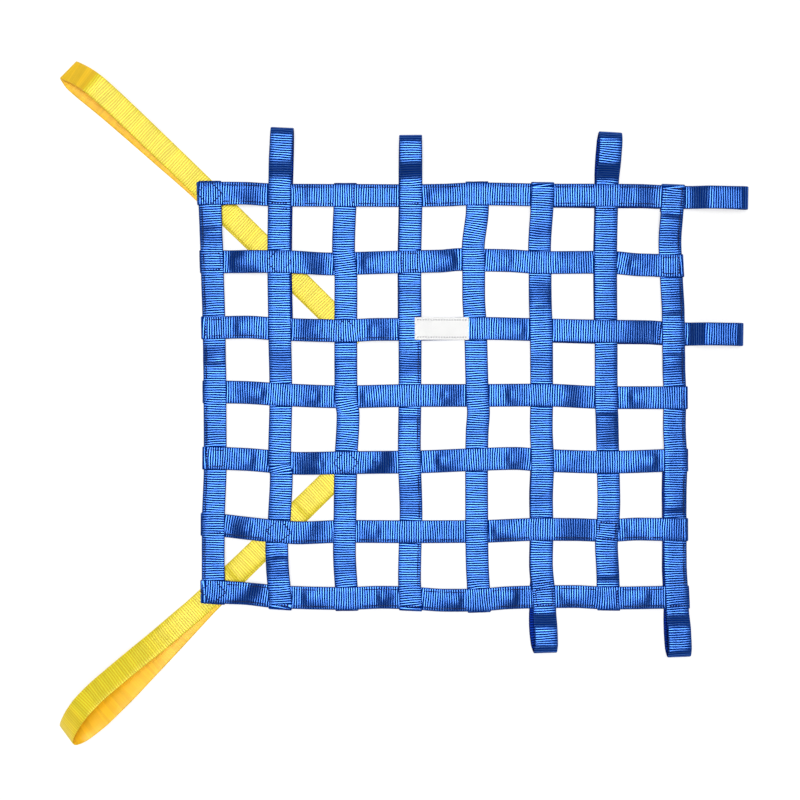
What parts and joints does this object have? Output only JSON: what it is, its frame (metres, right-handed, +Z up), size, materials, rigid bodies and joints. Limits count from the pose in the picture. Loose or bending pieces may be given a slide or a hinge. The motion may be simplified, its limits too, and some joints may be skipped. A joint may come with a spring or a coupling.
{
  "type": "window net",
  "caption": "Racing window net of blue ribbed webbing in plain weave, laid flat, with open strap loops on three sides and two long yellow tether loops on the diagonal.",
  "frame": {"origin": "middle of the outline, on the surface that the net lies on", "axes": "+Z up from the surface, +X to the side with the single strap loops, +Y to the top edge, away from the two strap loops of the bottom edge"},
  "size_m": [0.7528, 0.7459, 0.0349],
  "materials": {
    "webbing_blue": "ribbed woven webbing, low sheen",
    "webbing_yellow": "ribbed woven webbing, low sheen",
    "label_white": "fine woven tape, matte"
  },
  "bodies": {
    "root": {"column_1": "webbing_blue", "column_2": "webbing_blue", "column_3": "webbing_blue", "column_4": "webbing_blue", "column_5": "webbing_blue", "column_6": "webbing_blue", "column_7": "webbing_blue", "column_8": "webbing_blue", "row_1": "webbing_blue", "row_2": "webbing_blue", "row_3": "webbing_blue", "row_4": "webbing_blue", "row_5": "webbing_blue", "row_6": "webbing_blue", "row_7": "webbing_blue", "tether_upper": "webbing_yellow", "tether_lower": "webbing_yellow", "label": "label_white"}
  },
  "joints": []
}
